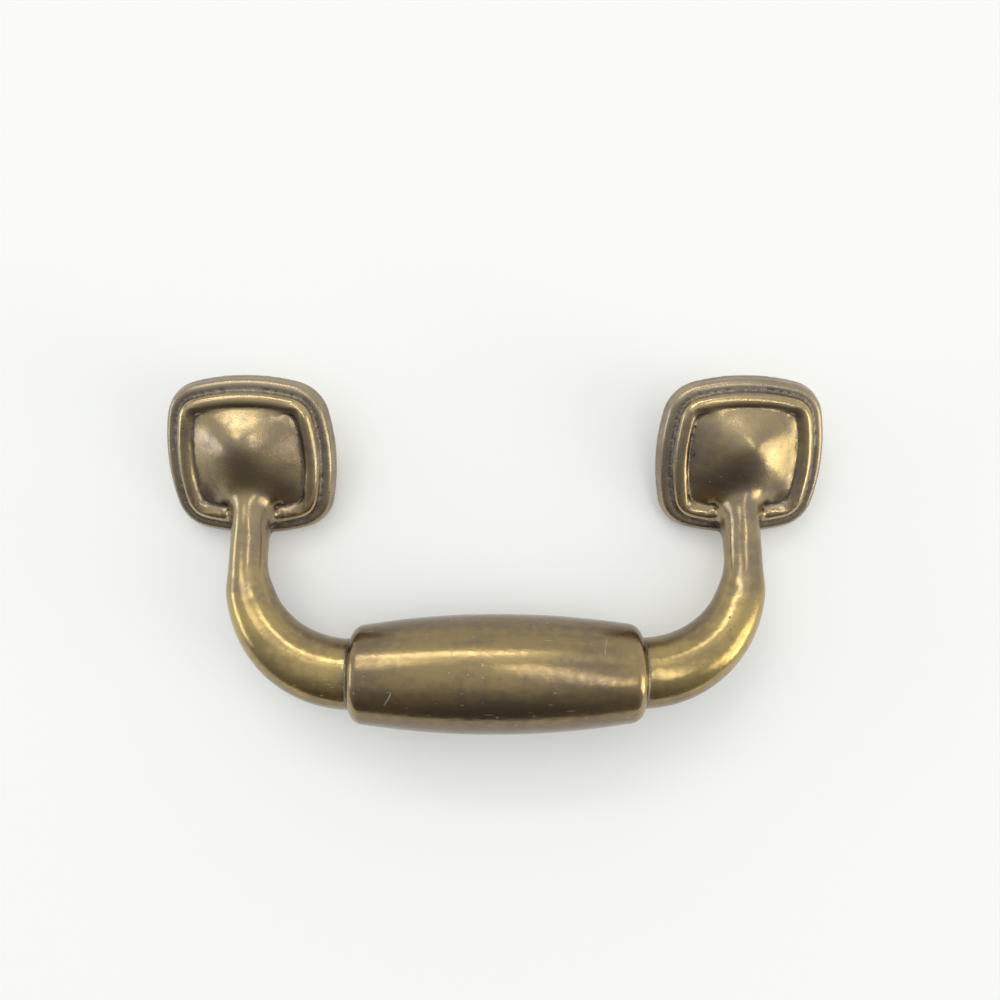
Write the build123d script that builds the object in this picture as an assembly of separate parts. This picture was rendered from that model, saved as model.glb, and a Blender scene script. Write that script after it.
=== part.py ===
from build123d import *
import os
from math import pi, radians, sin, tan

# A rigid cabinet pull cast in one piece: two cushion rosettes, two curved arms, a barrel grip.
# It is drawn lying on its back, with X along the pair of screw holes, Y up the drawer front and
# Z out of it, and is stood up at the end. All sizes are millimetres.

# Screw holes, set from behind the drawer front
hole_spacing = 76.2
tap_hole_diameter = 3.45
tap_hole_depth = 4.8

# Rosette outline: four bowed sides with rounded corners
rosette_width = 26.2
rosette_height = 25.4
side_bow_radius = 32.0
corner_radius = 6.1

# Rosette moulding: insets from the rim, heights from the back
foot_radius = 0.45
wall_draft = 0.3
wall_height = 1.2
band_crest_inset = 1.25
band_crest_height = 2.5
groove_inset = 2.3
groove_height = 2.1
bead_crest_inset = 3.6
bead_crest_height = 3.9
panel_inset = 4.8
panel_floor_height = 3.0

# Tented panel: its flanks rise from under the bead to a soft peak above the middle
skirt_inset = 4.1
skirt_corner_radius = 3.2
skirt_depth = 0.2
peak_height = 7.6
peak_rise = 2.9
peak_share = 0.07
peak_roundness = 1.2
tent_section_count = 6

# Cored back: a rim and a screw boss stand on the drawer front
rim_width = 2.0
core_depth = 1.0
boss_diameter = 9.0

# Barrel grip
grip_length = 43.2
grip_diameter = 17.6
grip_end_diameter = 14.0
grip_shoulder_radius = 2.0
grip_drop = 29.4
grip_stand_off = 16.5

# Arms: they leave the lower panel, turn down at an elbow and bend round onto the grip's ends
arm_root_inset = 9.7
arm_elbow_inset = 1.3
arm_elbow_drop = 1.4
arm_elbow_radius = 9.0
arm_lean = 0.1
arm_straight_run = 1.0
arm_diameter = 6.35
arm_grip_diameter = 10.4
arm_root_diameter = 10.6
arm_flare_length = 7.0
arm_swell_power = 1.3
arm_grip_overlap = 2.5
arm_section_count = 15
panel_blend_radius = 0.7

# Web behind each arm: a gusset with a hollow edge, from the rosette's foot to the arm's underside
web_thickness = 4.6
web_foot_inset = 0.9
web_run = 7.9
web_hollow = 0.9


def cushion_outline(inset=0, radius=corner_radius):
    bow_x = side_bow_radius - rosette_width / 2
    bow_y = side_bow_radius - rosette_height / 2
    bowed = Circle(side_bow_radius)
    sides = Pos(bow_x, 0) * bowed & Pos(-bow_x, 0) * bowed
    ends = Pos(0, bow_y) * bowed & Pos(0, -bow_y) * bowed
    outline = sides & ends
    if inset:
        outline = offset(outline, -inset)
    return fillet(outline.vertices(), radius)


def moulding_section():
    foot = RadiusArc((foot_radius, 0), (0, foot_radius), foot_radius)
    wall = Line(foot @ 1, (wall_draft, wall_height))
    band = ThreePointArc(
        wall @ 1, (band_crest_inset, band_crest_height), (groove_inset, groove_height)
    )
    bead = ThreePointArc(
        band @ 1, (bead_crest_inset, bead_crest_height), (panel_inset, panel_floor_height)
    )
    inside = Polyline(bead @ 1, (panel_inset, 0), foot @ 0)
    return make_face(foot + wall + band + bead + inside)


def moulded_rim():
    outline = cushion_outline()
    rim = outline.face().outer_wire()
    start = rim @ 0
    along = rim % 0
    inward = Vector(-along.Y, along.X, 0)
    if inward.dot(start) > 0:
        inward = -inward
    station = Plane(start, x_dir=inward, z_dir=inward.cross(Vector(0, 0, 1)))
    moulding = sweep(station * moulding_section(), path=rim)
    floor = extrude(offset(outline, -bead_crest_inset), panel_floor_height)
    return moulding + floor


def tent():
    skirt = cushion_outline(skirt_inset, skirt_corner_radius)
    skirt_height = panel_floor_height - skirt_depth
    sections = []
    for index in range(tent_section_count):
        share = 1 - index * (1 - peak_share) / (tent_section_count - 1)
        height = peak_height - (peak_height - skirt_height) * share**peak_roundness
        sections.append(Pos(0, peak_rise * (1 - share), height) * scale(skirt, by=share))
    return loft(sections)


def arm_corners():
    hole_x = hole_spacing / 2
    elbow_x = hole_x - arm_lean
    root = Vector(hole_x, arm_root_inset - rosette_height / 2, 0)
    elbow = Vector(elbow_x, arm_elbow_inset - rosette_height / 2, peak_height - arm_elbow_drop)
    corner = Vector(elbow_x, -grip_drop, grip_stand_off)
    end = Vector(grip_length / 2 - arm_grip_overlap, -grip_drop, grip_stand_off)
    return root, elbow, corner, end


def arm():
    root, elbow, corner, end = arm_corners()
    bail_line = corner - elbow
    elbow_turn = radians(bail_line.get_angle(elbow - root))
    down_run = bail_line.length - arm_elbow_radius * tan(elbow_turn / 2) - arm_straight_run
    across_run = elbow.X - grip_length / 2
    bend_radius = min(down_run, across_run)
    path = FilletPolyline(root, elbow, corner, end, radius=[arm_elbow_radius, bend_radius])
    bail_normal = bail_line.cross(Vector(1, 0, 0))
    bend_start = path.length - (corner - end).length + bend_radius * (1 - pi / 2)
    swell = arm_grip_diameter - arm_diameter
    flare = arm_root_diameter - arm_diameter
    sections = []
    for index in range(arm_section_count):
        share = index / (arm_section_count - 1)
        run = share * path.length
        bend_angle = min(max((run - bend_start) / bend_radius, 0), pi / 2)
        flare_left = max(1 - run / arm_flare_length, 0)
        diameter = arm_diameter + swell * sin(bend_angle) ** arm_swell_power + flare * flare_left**2
        station = Plane(path @ share, x_dir=bail_normal, z_dir=path % share)
        sections.append(station * Circle(diameter / 2))
    return split(loft(sections), bisect_by=Plane.XY, keep=Keep.TOP)


def web():
    root, elbow, corner, end = arm_corners()
    foot = Vector(0, web_foot_inset - rosette_height / 2, 0)
    top = elbow + (corner - elbow).normalized() * web_run
    outline = [(point.Y, point.Z) for point in (foot, root, elbow, top)]
    hollow = SagittaArc(outline[-1], outline[0], web_hollow)
    section = make_face(Polyline(*outline) + hollow)
    return extrude(Plane.YZ.offset(root.X) * section, web_thickness / 2, both=True)


def shared_edges(face, others):
    other_edges = [edge for other in others for edge in other.edges()]
    return [edge for edge in face.edges() if any(edge.is_same(match) for match in other_edges)]


def right_half():
    half = Pos(hole_spacing / 2, 0) * (moulded_rim() + tent()) + arm() + web()
    *panel_faces, arm_face = half.faces().filter_by(GeomType.BSPLINE).sort_by(SortBy.AREA)
    panel_join = shared_edges(arm_face, panel_faces)
    return half.fillet(panel_blend_radius, panel_join)


def back_core():
    recess = extrude(offset(cushion_outline(), -rim_width), core_depth)
    boss = extrude(Circle(boss_diameter / 2), core_depth)
    return recess - boss


def grip():
    half_length = grip_length / 2
    crown = ThreePointArc(
        (-half_length, grip_end_diameter / 2),
        (0, grip_diameter / 2),
        (half_length, grip_end_diameter / 2),
    )
    outside = Polyline(crown @ 1, (half_length, 0), (-half_length, 0), crown @ 0)
    half_section = make_face(crown + outside)
    shoulders = half_section.vertices().sort_by(Axis.Y)[-2:]
    barrel = revolve(fillet(shoulders, grip_shoulder_radius), Axis.X)
    return Pos(0, -grip_drop, grip_stand_off) * barrel


def pull_casting():
    half = right_half()
    casting = half + mirror(half, about=Plane.YZ) + grip()
    tap_hole = extrude(Circle(tap_hole_diameter / 2), tap_hole_depth)
    for side in (-1, 1):
        place = Pos(side * hole_spacing / 2, 0)
        casting -= place * back_core()
        casting -= place * tap_hole
    return Plane.XZ.location * casting


os.makedirs("parts", exist_ok=True)
casting = pull_casting()
export_step(casting, "parts/pull_casting.step")
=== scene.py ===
import bpy
import numpy as np
from math import atan2, cos, radians, sin
from mathutils import Matrix, Vector


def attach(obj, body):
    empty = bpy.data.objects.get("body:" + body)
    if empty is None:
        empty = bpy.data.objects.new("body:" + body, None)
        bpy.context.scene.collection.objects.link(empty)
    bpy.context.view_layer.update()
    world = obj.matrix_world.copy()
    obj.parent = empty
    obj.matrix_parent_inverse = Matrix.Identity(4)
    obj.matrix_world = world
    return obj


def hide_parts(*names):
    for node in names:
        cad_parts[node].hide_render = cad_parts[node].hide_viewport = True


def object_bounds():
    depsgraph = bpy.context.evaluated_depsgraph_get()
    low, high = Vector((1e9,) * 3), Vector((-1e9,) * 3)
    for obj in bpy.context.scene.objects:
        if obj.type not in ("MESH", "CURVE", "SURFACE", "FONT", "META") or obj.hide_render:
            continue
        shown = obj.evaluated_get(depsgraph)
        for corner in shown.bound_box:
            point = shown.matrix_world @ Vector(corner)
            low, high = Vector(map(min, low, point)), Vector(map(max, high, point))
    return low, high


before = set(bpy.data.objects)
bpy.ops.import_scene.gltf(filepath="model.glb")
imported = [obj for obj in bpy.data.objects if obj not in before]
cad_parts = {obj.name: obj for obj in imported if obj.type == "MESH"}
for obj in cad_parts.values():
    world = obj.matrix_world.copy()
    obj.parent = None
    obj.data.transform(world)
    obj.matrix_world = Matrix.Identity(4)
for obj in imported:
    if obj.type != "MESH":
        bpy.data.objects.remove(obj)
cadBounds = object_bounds()
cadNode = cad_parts["pull_casting"]
print("frame loaded")


def activate(obj):
    bpy.ops.object.select_all(action="DESELECT")
    obj.select_set(True)
    bpy.context.view_layer.objects.active = obj


def applyModifier(obj, kind, name, **values):
    activate(obj)
    modifier = obj.modifiers.new(name, kind)
    for key, value in values.items():
        setattr(modifier, key, value)
    bpy.ops.object.modifier_apply(modifier=name)


def ease(low, high, value):
    share = min(max((value - low) / (high - low), 0), 1)
    return share * share * (3 - 2 * share)


# Zones of the casting, in metres: each pair is where a zone fades in and where it is full
zoneSettings = {
    "rosetteX": 0.0381,  # half the spacing of the screws
    "rosetteHalfWidth": 0.0131,
    "rosetteHalfHeight": 0.0127,
    "squareness": 5,  # how square the zones of the rosette are
    "front": (-0.0033, -0.0038),
    "gripTop": (-0.0190, -0.0210),
    "gripEnds": (0.0196, 0.0186),
    "armTop": (-0.0125, -0.0165),
    "armInside": (0.0232, 0.0250),
    "tentSides": (0.0086, 0.0074),
    "tentEnds": (0.0083, 0.0071),
    "rootSides": (0.0050, 0.0042),
    "rootBottom": (-0.0185, -0.0155),
    "rootTop": (0.0, -0.0060),
    "ridgeSides": (0.0046, 0.0),
    "ridgeTop": (0.0020, -0.0040),
    "ridgeBottom": (-0.0115, -0.0070),
    "rimInside": (0.74, 0.82),  # shares of the rosette
    "rimFront": (-0.0050, -0.0040),
    "rimBottom": -0.0130,
    "panelOutside": (0.66, 0.58),
    "panelSatin": 0.35,
    "turnedBack": (-0.55, -0.10),  # parts of the normal
    "turnedDown": (-0.18, -0.52),
}


def polishWeight(point):
    s = zoneSettings
    x, z = abs(point.x), point.z
    onGrip = ease(*s["gripTop"], z) * ease(*s["gripEnds"], x)
    onArm = ease(*s["armTop"], z) * ease(*s["armInside"], x)
    return max(onGrip, onArm)


def panelWeight(point):
    s = zoneSettings
    x, z = abs(abs(point.x) - s["rosetteX"]), point.z
    onTent = ease(*s["tentSides"], x) * ease(*s["tentEnds"], abs(z))
    onRoot = ease(*s["rootSides"], x) * ease(*s["rootBottom"], z) * ease(*s["rootTop"], z)
    return ease(*s["front"], point.y) * max(onTent, onRoot)


def ridgeWeight(point):
    s = zoneSettings
    x, z = abs(abs(point.x) - s["rosetteX"]), point.z
    onRidge = ease(*s["front"], point.y) * ease(*s["ridgeSides"], x)
    return onRidge * ease(*s["ridgeTop"], z) * ease(*s["ridgeBottom"], z)


def satinWeight(point):
    s = zoneSettings
    x = abs(abs(point.x) - s["rosetteX"]) / s["rosetteHalfWidth"]
    z = abs(point.z) / s["rosetteHalfHeight"]
    reach = (x ** s["squareness"] + z ** s["squareness"]) ** (1 / s["squareness"])
    onRim = ease(*s["rimInside"], reach) * ease(*s["rimFront"], point.y) * (point.z > s["rimBottom"])
    return max(onRim, s["panelSatin"] * ease(*s["panelOutside"], reach))


# Painted shade: a weight for faces turned back or down, which the brass colours darker
def paintedShadeWeight(normal):
    s = zoneSettings
    return max(ease(*s["turnedBack"], normal[1]), ease(*s["turnedDown"], normal[2]))


# The casting: a merged copy of the solid, remeshed evenly, softened as cast metal is
castingSettings = {
    "mergeGap": 0.00001,
    "voxel": 0.00024,
    "softenFactor": 0.5,
    "softenRounds": 6,  # everywhere
    "polishRounds": 40,  # grip and arms, which the polisher's wheel reached
    "panelRounds": 380,  # tented panels and the arm roots, which were cast soft
    "ridgeHeight": 0.0009,  # a faint ridge from each arm up its panel
    "waveSize": 0.008,
    "waveHeight": 0.00008,
    "grainSize": 0.0010,
    "grainHeight": 0.00002,
    "keep": 0.57,
}


def weigh(casting, name, weightOf):
    group = casting.vertex_groups.new(name=name)
    levels = {}
    for vertex in casting.data.vertices:
        levels.setdefault(round(weightOf(vertex.co), 1), []).append(vertex.index)
    for weight, indices in levels.items():
        group.add(indices, weight, "REPLACE")


def smoothBy(casting, name, weightOf, rounds):
    weigh(casting, name, weightOf)
    factor = castingSettings["softenFactor"]
    applyModifier(casting, "SMOOTH", name, factor=factor, iterations=rounds, vertex_group=name)


def makeCasting():
    s = castingSettings
    casting = bpy.data.objects.new("brass_casting", cadNode.data.copy())
    bpy.context.scene.collection.objects.link(casting)
    casting.data.materials.clear()
    activate(casting)
    bpy.ops.object.mode_set(mode="EDIT")
    bpy.ops.mesh.select_all(action="SELECT")
    bpy.ops.mesh.remove_doubles(threshold=s["mergeGap"])
    bpy.ops.object.mode_set(mode="OBJECT")
    applyModifier(casting, "REMESH", "evenSkin", mode="VOXEL", voxel_size=s["voxel"])
    applyModifier(casting, "SMOOTH", "soften", factor=s["softenFactor"], iterations=s["softenRounds"])
    smoothBy(casting, "polished", polishWeight, s["polishRounds"])
    weigh(casting, "ridge", ridgeWeight)
    applyModifier(
        casting, "DISPLACE", "ridge",
        direction="Y", strength=-s["ridgeHeight"], mid_level=0.0, vertex_group="ridge",
    )
    smoothBy(casting, "tented", panelWeight, s["panelRounds"])
    print("casting skinned with", len(casting.data.polygons), "faces")
    return casting


# Relief: how far the skin stands above a smoothed copy of itself, half meaning level;
# the third channel marks the satin rims and panels, the fourth where shade is painted on faces turned
# back or down
reliefSettings = {
    "fine": {"rounds": 14, "reach": 0.00006},
    "broad": {"rounds": 110, "reach": 0.00030},
}


def vertexValues(mesh, name):
    values = np.empty(len(mesh.vertices) * 3)
    mesh.vertices.foreach_get(name, values)
    return values.reshape(-1, 3)


def markRelief(casting):
    mesh = casting.data
    places = vertexValues(mesh, "co")
    normals = vertexValues(mesh, "normal")
    colours = np.ones((len(places), 4))
    factor = castingSettings["softenFactor"]
    for channel, s in enumerate(reliefSettings.values()):
        level = bpy.data.objects.new("level", mesh.copy())
        bpy.context.scene.collection.objects.link(level)
        applyModifier(level, "SMOOTH", "level", factor=factor, iterations=s["rounds"])
        rise = ((places - vertexValues(level.data, "co")) * normals).sum(axis=1)
        colours[:, channel] = np.clip(0.5 + 0.5 * rise / s["reach"], 0, 1)
        bpy.data.objects.remove(level)
    colours[:, 2] = [satinWeight(vertex.co) for vertex in mesh.vertices]
    colours[:, 3] = [paintedShadeWeight(normal) for normal in normals]
    relief = mesh.color_attributes.new("relief", "FLOAT_COLOR", "POINT")
    relief.data.foreach_set("color", colours.ravel())
    print("relief marked")


def roughenCasting(casting):
    s = castingSettings
    for name in ("wave", "grain"):
        clouds = bpy.data.textures.new(name, "CLOUDS")
        clouds.noise_scale = s[name + "Size"]
        applyModifier(
            casting, "DISPLACE", name,
            texture=clouds, texture_coords="LOCAL", strength=s[name + "Height"], mid_level=0.5,
        )
    applyModifier(casting, "DECIMATE", "thin", ratio=s["keep"])
    activate(casting)
    bpy.ops.object.shade_smooth()
    print("casting kept", len(casting.data.polygons), "faces")


class Nodes:
    def __init__(self, tree):
        self.tree = tree
        tree.nodes.clear()

    def fill(self, socket, value):
        if isinstance(value, bpy.types.NodeSocket):
            self.tree.links.new(value, socket)
        else:
            socket.default_value = value

    def add(self, kind, values=None, **settings):
        node = self.tree.nodes.new(kind)
        for key, value in settings.items():
            setattr(node, key, value)
        for socket, value in (values or {}).items():
            self.fill(node.inputs[socket], value)
        return node

    def math(self, operation, first, second=0.5, clamp=False):
        node = self.add("ShaderNodeMath", {0: first, 1: second}, operation=operation, use_clamp=clamp)
        return node.outputs[0]

    def vector(self, operation, values, output="Vector"):
        return self.add("ShaderNodeVectorMath", values, operation=operation).outputs[output]

    def times(self, *values):
        product = values[0]
        for value in values[1:]:
            product = self.math("MULTIPLY", product, value)
        return product

    def plus(self, *values):
        total = values[0]
        for value in values[1:]:
            total = self.math("ADD", total, value)
        return total

    def most(self, first, second):
        return self.math("MAXIMUM", first, second)

    def ramp(self, value, low, high, bottom=0.0, top=1.0):
        node = self.add("ShaderNodeMapRange", {"Value": value, "From Min": low, "From Max": high})
        node.interpolation_type = "SMOOTHSTEP"
        self.fill(node.inputs["To Min"], bottom)
        self.fill(node.inputs["To Max"], top)
        return node.outputs["Result"]

    def mix(self, factor, first, second):
        node = self.add("ShaderNodeMix", data_type="RGBA")
        for socket, value in ((0, factor), (6, first), (7, second)):
            self.fill(node.inputs[socket], value)
        return node.outputs[2]

    def noise(self, place, scale, detail=4.0):
        values = {"Vector": place, "Scale": scale, "Detail": detail}
        return self.add("ShaderNodeTexNoise", values).outputs["Fac"]

    def dots(self, place, scale, size, share):
        cells = self.add("ShaderNodeTexVoronoi", {"Vector": place, "Scale": scale}).outputs
        pick = self.add("ShaderNodeSeparateColor", {"Color": cells["Color"]}).outputs[0]
        return self.times(self.ramp(cells["Distance"], *size), self.ramp(pick, *share))

    def stretch(self, place, turn, scale):
        values = {"Vector": place, "Rotation": turn, "Scale": scale}
        return self.add("ShaderNodeMapping", values).outputs[0]

    def away(self, place, start, end):
        run = end - start
        offset = self.vector("SUBTRACT", {0: place, 1: start})
        share = self.vector("DOT_PRODUCT", {0: offset, 1: run / run.length_squared}, "Value")
        share = self.math("MULTIPLY", share, 1.0, True)
        along = self.vector("SCALE", {0: run, "Scale": share})
        return self.vector("DISTANCE", {0: offset, 1: along}, "Value")

    def bump(self, height, distance, normal=None):
        values = {"Height": height, "Distance": distance, "Strength": 1.0}
        if normal:
            values["Normal"] = normal
        return self.add("ShaderNodeBump", values).outputs["Normal"]


# Antiqued brass: golden on the handled grip and bends, greyer on the rosettes, dark in the hollows
brassSettings = {
    "rubbed": (0.56, 0.43, 0.23, 1),
    "gold": (0.455, 0.338, 0.138, 1),  # the bends of the arms
    "tan": (0.315, 0.234, 0.112, 1),
    "bronze": (0.335, 0.250, 0.120, 1),  # the grip
    "brown": (0.225, 0.170, 0.106, 1),
    "straw": (0.375, 0.290, 0.160, 1),  # the panels and arm roots
    "clay": (0.265, 0.206, 0.152, 1),
    "olive": (0.340, 0.285, 0.208, 1),  # the rims of the rosettes
    "umber": (0.240, 0.196, 0.160, 1),
    "paintedShade": (0.17, 0.130, 0.095, 1),  # painted shade on faces turned back or down
    "grime": (0.115, 0.100, 0.088, 1),
    # bare metal in the specks and nicks, and painted glints in the hollows
    "bareMetalAndGlint": (0.40, 0.385, 0.35, 1),
    "blotchScale": 110,
    "streakScale": (45, 420, 420),  # drawn out along the grip
    "mottleScale": 750,
    "dimpleScale": 1300,
    "grainScale": 4600,
    "glintScale": 3200,
    "crestFine": (0.60, 0.85),  # on the relief, where half is level
    "crestBroad": (0.66, 0.95),
    "hollowFine": (0.40, 0.10),
    "hollowBroad": (0.30, 0.02),
    "patina": (0.41, 0.60),
    "handled": (-0.007, -0.020),  # metres down the arm
    "handledDrift": 0.006,
    "gripEnds": (0.0240, 0.0205),
    "rim": (0.40, 0.80),
    "speck": {"scale": 1500, "size": (0.24, 0.10), "share": (0.960, 0.97)},
    "pit": {"scale": 700, "size": (0.15, 0.06), "share": (0.90, 0.92)},
    "roughness": (0.13, 0.25),
    "satin": 0.12,
    "dimpleDepth": 0.000013,
    "grainDepth": 0.000014,
    "markDepth": 0.00003,
}

scratchSettings = {
    "turns": (20, 74, -38),
    "lean": 0.3,
    "scale": (160, 3800, 3800),
    "line": (0.735, 0.775),
    "patchScale": 150,
    "patchStep": 40,
    "patch": (0.56, 0.66),
}

# Marks of use, seen from the front, in millimetres: start, end, half width
nickSettings = (
    ((-15.8, -29.9), (-14.9, -28.1), 0.07),
    ((15.3, -22.8), (15.2, -23.5), 0.05),
    ((15.7, -22.2), (15.5, -22.6), 0.05),
    ((-20.4, -22.9), (-20.4, -23.0), 0.10),
    ((-20.2, -28.3), (-20.2, -28.4), 0.09),
    ((8.0, -27.7), (8.1, -27.7), 0.09),
    ((-0.1, -31.5), (0.0, -31.6), 0.10),
    ((5.1, -31.4), (5.2, -31.4), 0.09),
    ((-4.1, -25.2), (-4.0, -25.2), 0.08),
    ((-49.7, 1.6), (-49.7, 1.7), 0.10),
    ((-45.3, 9.6), (-45.3, 9.7), 0.10),
)


def scratchLines(n, place):
    s = scratchSettings
    scratch = 0.0
    for index, degrees in enumerate(s["turns"]):
        along = n.stretch(place, (s["lean"] * index, radians(degrees), 0), s["scale"])
        line = n.ramp(n.noise(along, 1.0, 1.0), *s["line"])
        here = n.ramp(n.noise(place, s["patchScale"] + s["patchStep"] * index, 2.0), *s["patch"])
        scratch = n.most(n.times(line, here), scratch)
    return scratch


def nickMarks(n, place, paintedShadeMask):
    front = n.vector("MULTIPLY", {0: place, 1: (1, 0, 1)})
    nick = 0.0
    for start, end, reach in nickSettings:
        start, end = (Vector((x, 0, z)) / 1000 for x, z in (start, end))
        gap = n.away(front, start, end)
        nick = n.most(n.ramp(gap, reach * 0.0016, reach * 0.0007), nick)
    return n.times(nick, n.math("SUBTRACT", 1.0, paintedShadeMask))


def makeBrass():
    s = brassSettings
    brass = bpy.data.materials.new("antique_brass")
    brass.use_nodes = True
    n = Nodes(brass.node_tree)
    place = n.add("ShaderNodeTexCoord").outputs["Object"]
    skin = n.add("ShaderNodeAttribute", attribute_name="relief").outputs
    fine, broad, satin = n.add("ShaderNodeSeparateColor", {"Color": skin["Color"]}).outputs
    paintedShadeMask = skin["Alpha"]
    blotch = n.noise(place, s["blotchScale"], 5.0)
    mottle = n.noise(place, s["mottleScale"], 6.0)
    grain = n.noise(place, s["grainScale"], 3.0)
    streak = n.noise(n.stretch(place, (0, 0, 0), s["streakScale"]), 1.0, 4.0)

    # what the relief says
    crest = n.most(n.ramp(fine, *s["crestFine"]), n.ramp(broad, *s["crestBroad"]))
    hollow = n.most(n.ramp(fine, *s["hollowFine"]), n.ramp(broad, *s["hollowBroad"]))
    ragged = n.ramp(n.plus(n.times(blotch, 0.5), n.times(grain, 0.5)), 0.34, 0.60)

    # grip, bends, panels and rims, each in two tones
    patina = n.plus(n.times(blotch, 0.40), n.times(streak, 0.35), n.times(mottle, 0.25))
    patina = n.ramp(patina, *s["patina"])
    spot = n.add("ShaderNodeSeparateXYZ", {0: place}).outputs
    handled = n.ramp(n.plus(spot["Z"], n.times(blotch, s["handledDrift"])), *s["handled"])
    onGrip = n.ramp(n.math("ABSOLUTE", spot["X"]), *s["gripEnds"])
    bends = n.mix(patina, s["gold"], s["tan"])
    held = n.mix(onGrip, bends, n.mix(patina, s["bronze"], s["brown"]))
    # painted shade: a darker colour on faces turned back or down, broken by mottle; nicks are left out
    # there
    held = n.mix(n.times(paintedShadeMask, n.plus(n.times(mottle, 0.5), 0.5)), held, s["paintedShade"])
    onRim = n.ramp(satin, *s["rim"])
    cast = n.mix(onRim, n.mix(patina, s["straw"], s["clay"]), n.mix(patina, s["olive"], s["umber"]))
    colour = n.mix(handled, cast, held)

    # rubbed crests, grimy hollows with painted glints, specks, pits and marks
    worn = n.math("SUBTRACT", 1.0, n.times(onRim, 0.6))
    colour = n.mix(n.times(crest, worn, n.ramp(mottle, 0.30, 0.55)), colour, s["rubbed"])
    colour = n.mix(n.times(hollow, n.plus(n.times(ragged, 0.45), 0.38)), colour, s["grime"])
    speck = n.dots(place, **s["speck"])
    # painted glints: silver dashes in the hollows that stand in for reflections
    glint = n.times(hollow, n.ramp(n.noise(place, s["glintScale"], 3.0), 0.48, 0.66), 0.65)
    colour = n.mix(n.most(speck, glint), colour, s["bareMetalAndGlint"])
    pit = n.dots(place, **s["pit"])
    colour = n.mix(n.times(pit, 0.8), colour, s["grime"])
    scratch = scratchLines(n, place)
    colour = n.mix(n.times(scratch, 0.7), colour, s["rubbed"])
    nick = nickMarks(n, place, paintedShadeMask)
    colour = n.mix(n.times(nick, 0.75), colour, s["bareMetalAndGlint"])

    rough = n.ramp(n.plus(n.times(grain, 0.5), n.times(mottle, 0.5)), 0.30, 0.70, *s["roughness"])
    rough = n.plus(rough, n.times(hollow, 0.16), n.times(pit, 0.2), n.times(satin, s["satin"]))
    rough = n.math("SUBTRACT", rough, n.times(crest, 0.04), True)

    normal = n.bump(n.noise(place, s["dimpleScale"], 3.0), s["dimpleDepth"])
    normal = n.bump(grain, s["grainDepth"], normal)
    normal = n.bump(n.plus(pit, scratch, nick), -s["markDepth"], normal)

    shader = n.add("ShaderNodeBsdfPrincipled", {
        "Base Color": colour, "Roughness": rough, "Metallic": 1.0, "Normal": normal,
    })
    n.add("ShaderNodeOutputMaterial", {"Surface": shader.outputs[0]})
    print("antique brass mixed")
    return brass


casting = makeCasting()
markRelief(casting)
roughenCasting(casting)
casting.data.materials.append(makeBrass())
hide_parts("pull_casting")
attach(casting, "root")

# The pale table that the pull lies on: its lower rosette edges and the back of the grip touch it
tableSettings = {
    "reach": 1.5,
    "colour": (0.88, 0.89, 0.89, 1),
    "glow": 0.11,  # added for camera and mirror rays, so that the table shows near white
    "clearance": 0.0002,
    "backSlack": 0.0001,  # how near to the back plane a point counts as on it
    "gripMargin": 0.005,  # how far below the rosettes the grip's own points start
}


def makeTable():
    s = tableSettings
    points = [v.co for v in cadNode.data.vertices]
    rosetteFoot = min(p.z for p in points if p.y > -s["backSlack"])
    gripPoints = [p for p in points if p.z < rosetteFoot - s["gripMargin"]]
    lean = min(atan2(-p.y, rosetteFoot - p.z) for p in gripPoints)
    normal = Vector((0, -cos(lean), sin(lean)))
    foot = Vector((0, 0, rosetteFoot)) - normal * s["clearance"]
    bpy.ops.object.select_all(action="DESELECT")
    bpy.ops.mesh.primitive_plane_add(size=2 * s["reach"])
    table = bpy.context.object
    table.name = "table"
    table.data.transform(Matrix.Translation(foot) @ normal.to_track_quat("Z", "Y").to_matrix().to_4x4())
    material = bpy.data.materials.new("pale_table")
    material.use_nodes = True
    n = Nodes(material.node_tree)
    path = n.add("ShaderNodeLightPath").outputs
    seen = n.math("ADD", path["Is Camera Ray"], path["Is Glossy Ray"], True)
    seen = n.math("ADD", seen, path["Is Transmission Ray"], True)
    matt = n.add("ShaderNodeBsdfDiffuse", {"Color": s["colour"]}).outputs[0]
    glow = n.add("ShaderNodeEmission", {"Strength": n.times(seen, s["glow"])}).outputs[0]
    front = n.add("ShaderNodeAddShader", {0: matt, 1: glow}).outputs[0]
    clear = n.add("ShaderNodeBsdfTransparent").outputs[0]
    behind = n.add("ShaderNodeNewGeometry").outputs["Backfacing"]
    surface = n.add("ShaderNodeMixShader", {0: behind, 1: front, 2: clear}).outputs[0]
    n.add("ShaderNodeOutputMaterial", {"Surface": surface})
    table.data.materials.append(material)
    print("table laid, leaning", round(lean, 4))
    return normal, Vector((0, sin(lean), cos(lean)))


tableNormal, tableFar = makeTable()

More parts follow.
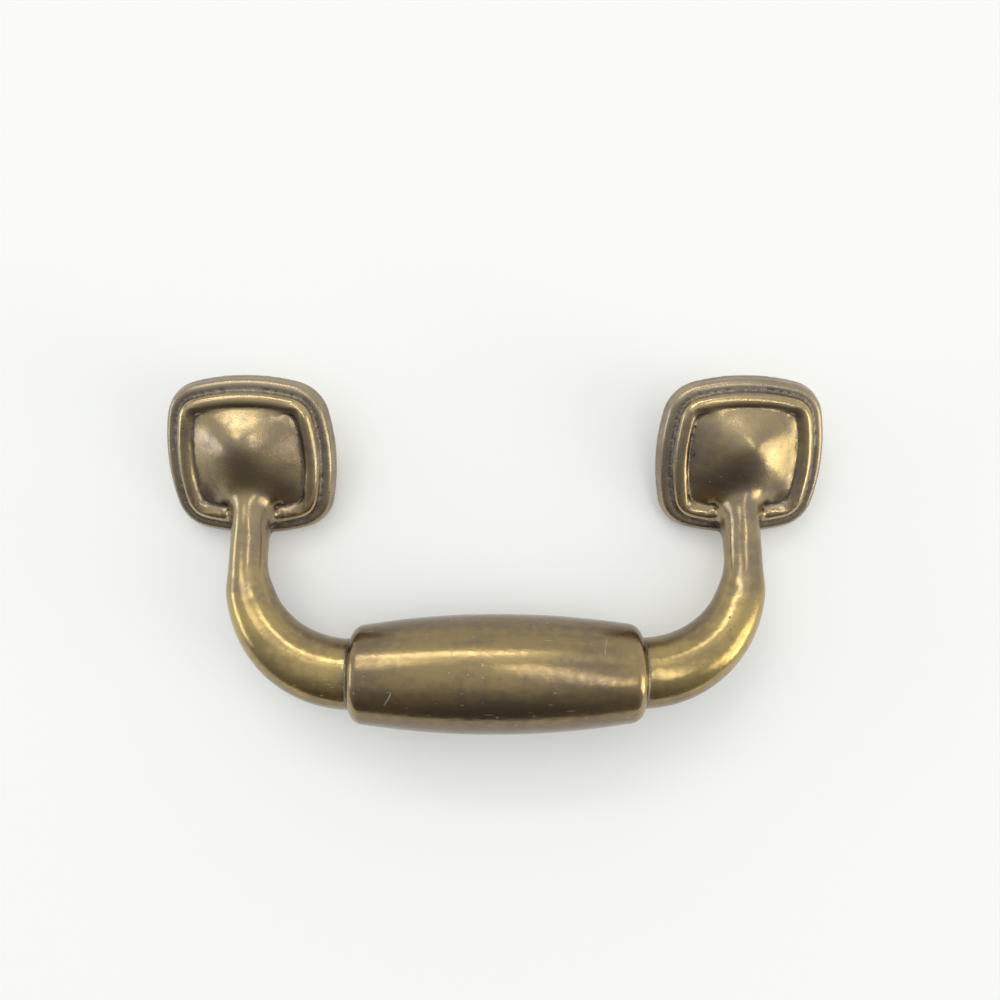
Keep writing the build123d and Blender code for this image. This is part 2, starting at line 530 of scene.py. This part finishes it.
# Soft boxes: bearing round the table from its far side, height above it, bearing of the first side
lampSettings = {
    "far": {
        "bearing": -8, "height": 53, "along": 90,
        "size": (2.4, 0.70), "watts": 2.1, "tint": (1, 0.95, 0.80),
    },
    "corner": {
        "bearing": -44, "height": 53, "along": 46,
        "size": (0.70, 0.40), "watts": 1.6, "tint": (1, 0.95, 0.80),
    },
    "strip": {
        "bearing": -19, "height": 43, "along": 90,
        "size": (1.5, 0.17), "watts": 4.6, "tint": (1, 0.97, 0.86),
    },
    "tube": {
        "bearing": 83, "height": 75, "along": 150,
        "size": (1.7, 0.11), "watts": 3.4, "tint": (1, 0.96, 0.84),
    },
    "right": {
        "bearing": 107, "height": 20, "along": 17,
        "size": (0.85, 1.30), "watts": 8.0, "tint": (1, 0.91, 0.64),
    },
    "glint": {
        "bearing": 113, "height": 11, "along": 23,
        "size": (0.55, 0.25), "watts": 1.5, "tint": (1, 0.93, 0.72),
    },
    "left": {
        "bearing": -91, "height": 12, "along": -1,
        "size": (1.10, 0.45), "watts": 4.0, "tint": (0.89, 0.96, 1),
    },
}
lampDistance = 2.0


def onBearing(degrees):
    return tableFar * cos(radians(degrees)) + Vector((1, 0, 0)) * sin(radians(degrees))


def makeLamps():
    middle = (Vector(cadBounds[0]) + Vector(cadBounds[1])) / 2
    for name, s in lampSettings.items():
        lamp = bpy.data.lights.new(name, "AREA")
        lamp.shape = "RECTANGLE"
        lamp.size, lamp.size_y = s["size"]
        lamp.energy = s["watts"]
        lamp.color = s["tint"]
        height = radians(s["height"])
        toward = tableNormal * sin(height) + onBearing(s["bearing"]) * cos(height)
        along = onBearing(s["along"])
        side = (along - toward * along.dot(toward)).normalized()
        turn = Matrix((side, toward.cross(side), toward)).transposed().to_4x4()
        box = bpy.data.objects.new(name, lamp)
        box.matrix_world = Matrix.Translation(middle + toward * lampDistance) @ turn
        bpy.context.scene.collection.objects.link(box)
    print("lamps set")


# The room: pale beyond the table, dark on the near side
worldSettings = {
    "bearing": 8,
    "near": (0.13, 0.117, 0.115, 1),
    "far": (0.82, 0.84, 0.85, 1),
    "fade": (-1.05, 0.15),
}


def makeWorld():
    s = worldSettings
    world = bpy.data.worlds.new("studio")
    bpy.context.scene.world = world
    world.use_nodes = True
    n = Nodes(world.node_tree)
    direction = n.add("ShaderNodeTexCoord").outputs["Generated"]
    side = n.vector("DOT_PRODUCT", {0: direction, 1: onBearing(s["bearing"])}, "Value")
    tone = n.mix(n.ramp(side, *s["fade"]), s["near"], s["far"])
    sky = n.add("ShaderNodeBackground", {"Color": tone, "Strength": 1.0})
    n.add("ShaderNodeOutputWorld", {"Surface": sky.outputs[0]})
    print("world set")


makeLamps()
makeWorld()

# The photograph's view: close and slightly from above
cameraSettings = {
    "place": (-0.000821, -0.122439, 0.031164),
    "down": 17.521,
    "yaw": 0.661,
    "roll": 0.127,
    "lens": 28.78,
    "sensor": 36,
    "clipStart": 0.005,
}


def makeCamera():
    s = cameraSettings
    down, yaw, roll = radians(s["down"]), radians(s["yaw"]), radians(s["roll"])
    forward = Vector((sin(yaw) * cos(down), cos(yaw) * cos(down), -sin(down)))
    level = forward.cross(Vector((0, 0, 1))).normalized()
    upright = level.cross(forward)
    right = level * cos(roll) + upright * sin(roll)
    up = upright * cos(roll) - level * sin(roll)
    lens = bpy.data.cameras.new("photo_view")
    lens.lens = s["lens"]
    lens.sensor_width = s["sensor"]
    lens.clip_start = s["clipStart"]
    camera = bpy.data.objects.new("photo_view", lens)
    turn = Matrix((right, up, -forward)).transposed().to_4x4()
    camera.matrix_world = Matrix.Translation(Vector(s["place"])) @ turn
    bpy.context.scene.collection.objects.link(camera)
    bpy.context.scene.camera = camera
    print("camera placed")


makeCamera()
bpy.context.scene.view_settings.view_transform = "Standard"
